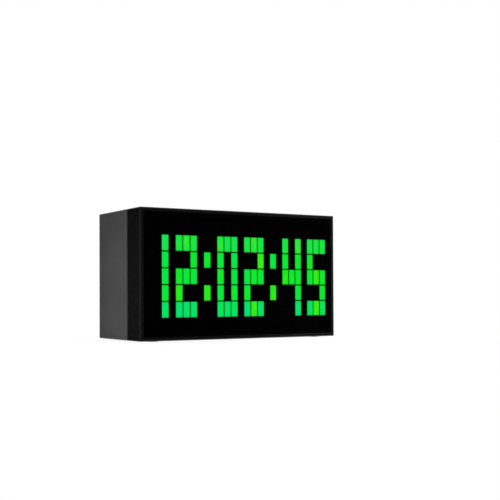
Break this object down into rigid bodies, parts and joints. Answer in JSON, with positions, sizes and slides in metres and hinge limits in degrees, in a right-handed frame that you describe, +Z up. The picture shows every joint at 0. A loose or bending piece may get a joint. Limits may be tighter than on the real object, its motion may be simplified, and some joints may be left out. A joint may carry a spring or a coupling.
{
  "type": "digital wall clock",
  "caption": "Box-shaped digital clock for wall or table, with a smoked lens over large lit block numbers in a black front frame on a grey textured rear case.",
  "frame": {"origin": "middle of the footprint, on the plane that the feet stand on", "axes": "+Z up, -Y out of the lens towards the viewer, +X to the viewer's right"},
  "size_m": [0.198, 0.088, 0.1126],
  "materials": {
    "black_gloss_abs": "moulded black ABS, satin to gloss",
    "smoked_acrylic": "polished smoked acrylic",
    "adhesive_tape": "black foam tape",
    "reflector_black": "matt black moulding",
    "lit_window": "milky diffuser lit green from behind",
    "unlit_window": "tinted diffuser, unlit",
    "led_ivory": "moulded chip package",
    "circuit_board": "green solder mask on glass epoxy",
    "steel_screw": "zinc plated",
    "chip_epoxy": "moulded black epoxy",
    "connector_nylon": "natural nylon",
    "ribbon_pvc": "grey PVC with a coloured edge",
    "crystal_can": "nickel plated can",
    "capacitor_sleeve": "shrunk sleeve",
    "buzzer_case": "moulded",
    "switch_body": "moulded",
    "button_abs": "fine matt moulding",
    "plunger_pom": "acetal",
    "switch_can": "nickel plated",
    "contact_brass": "plated spring brass",
    "cell_steel": "nickel plated steel",
    "grey_textured_abs": "fine spark-eroded texture",
    "foot_rubber": "moulded rubber"
  },
  "bodies": {
    "casing": {"front_frame": "black_gloss_abs", "front_lens": "smoked_acrylic", "lens_tape": "adhesive_tape", "display_grid": "reflector_black", "hour_tens_windows": "lit_window", "hour_units_windows": "lit_window", "minute_tens_windows": "lit_window", "minute_units_windows": "lit_window", "second_tens_windows": "lit_window", "second_units_windows": "lit_window", "colon_windows": "lit_window", "unlit_windows": "unlit_window", "led_chips": "led_ivory", "display_board": "circuit_board", "display_screws": "steel_screw", "driver_chips": "chip_epoxy", "display_connector": "connector_nylon", "ribbon_cable": "ribbon_pvc", "main_connector": "connector_nylon", "main_board": "circuit_board", "board_screws": "steel_screw", "controller_chip": "chip_epoxy", "crystal": "crystal_can", "capacitors": "capacitor_sleeve", "voltage_regulator": "chip_epoxy", "buzzer": "buzzer_case", "push_switches": "switch_body", "alarm_switch_can": "switch_can", "cell_holder": "switch_body", "cell_contacts": "contact_brass", "coin_cell": "cell_steel", "dc_inlet": "switch_body", "dc_inlet_pin": "switch_can", "rear_case": "grey_textured_abs", "case_screws": "steel_screw", "rubber_feet": "foot_rubber"},
    "mode_push": {"mode_button": "button_abs", "mode_plunger": "plunger_pom"},
    "set_push": {"set_button": "button_abs", "set_plunger": "plunger_pom"},
    "up_push": {"up_button": "button_abs", "up_plunger": "plunger_pom"},
    "down_push": {"down_button": "button_abs", "down_plunger": "plunger_pom"},
    "light_push": {"light_button": "button_abs", "light_plunger": "plunger_pom"},
    "alarm_switch": {"alarm_switch_lever": "switch_body", "alarm_switch_knob": "button_abs"},
    "battery_cover": {"battery_cap": "grey_textured_abs"}
  },
  "joints": [
    {"name": "mode_button_press", "type": "slide", "parent": "casing", "child": "mode_push", "axis": [0, -1, 0], "range_m": [0, 0.0008], "stiffness_N_per_m": 2200},
    {"name": "set_button_press", "type": "slide", "parent": "casing", "child": "set_push", "axis": [0, -1, 0], "range_m": [0, 0.0008], "stiffness_N_per_m": 2200},
    {"name": "up_button_press", "type": "slide", "parent": "casing", "child": "up_push", "axis": [0, -1, 0], "range_m": [0, 0.0008], "stiffness_N_per_m": 2200},
    {"name": "down_button_press", "type": "slide", "parent": "casing", "child": "down_push", "axis": [0, -1, 0], "range_m": [0, 0.0008], "stiffness_N_per_m": 2200},
    {"name": "light_button_press", "type": "slide", "parent": "casing", "child": "light_push", "axis": [0, -1, 0], "range_m": [0, 0.0008], "stiffness_N_per_m": 2200},
    {"name": "alarm_switch_slide", "type": "slide", "parent": "casing", "child": "alarm_switch", "axis": [1, 0, 0], "range_m": [0, 0.003]},
    {"name": "battery_cap_turn", "type": "hinge", "parent": "casing", "child": "battery_cover", "pos_m": [0.045, 0.044, 0.0346], "axis": [0, 1, 0], "range_deg": [0, 50]}
  ]
}
